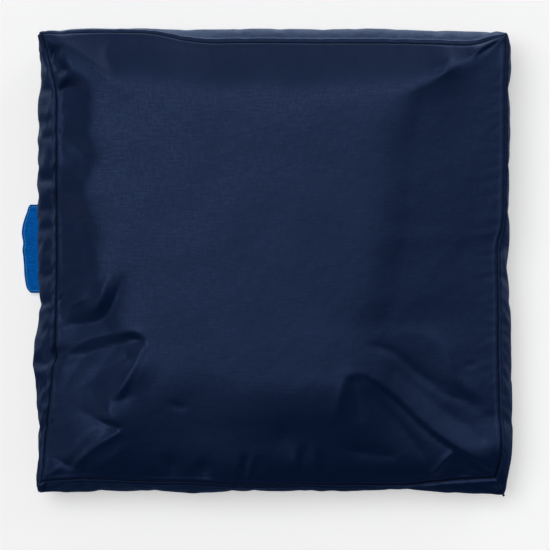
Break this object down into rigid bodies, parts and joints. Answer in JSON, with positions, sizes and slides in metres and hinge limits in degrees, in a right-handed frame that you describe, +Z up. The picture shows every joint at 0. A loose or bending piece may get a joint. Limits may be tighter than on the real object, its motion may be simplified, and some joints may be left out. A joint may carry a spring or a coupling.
{
  "type": "outdoor floor cushion",
  "caption": "Square box cushion for sitting on the floor or a bench outdoors, softly filled, with a sewn side band and a small cloth tab in its lower seam.",
  "frame": {"origin": "on the floor, under the middle of the cushion, on the flat face that it rests on", "axes": "+Z up through the cushion's thickness; the tab is on the -X side; +X and +Y run along its square sides"},
  "size_m": [0.623, 0.5868, 0.1261],
  "materials": {
    "coated_cloth": "plain weave with a coating, low sheen",
    "tab_cloth": "woven tape, matt"
  },
  "bodies": {
    "root": {"cushion": "coated_cloth", "side_tab": "tab_cloth"}
  },
  "joints": []
}
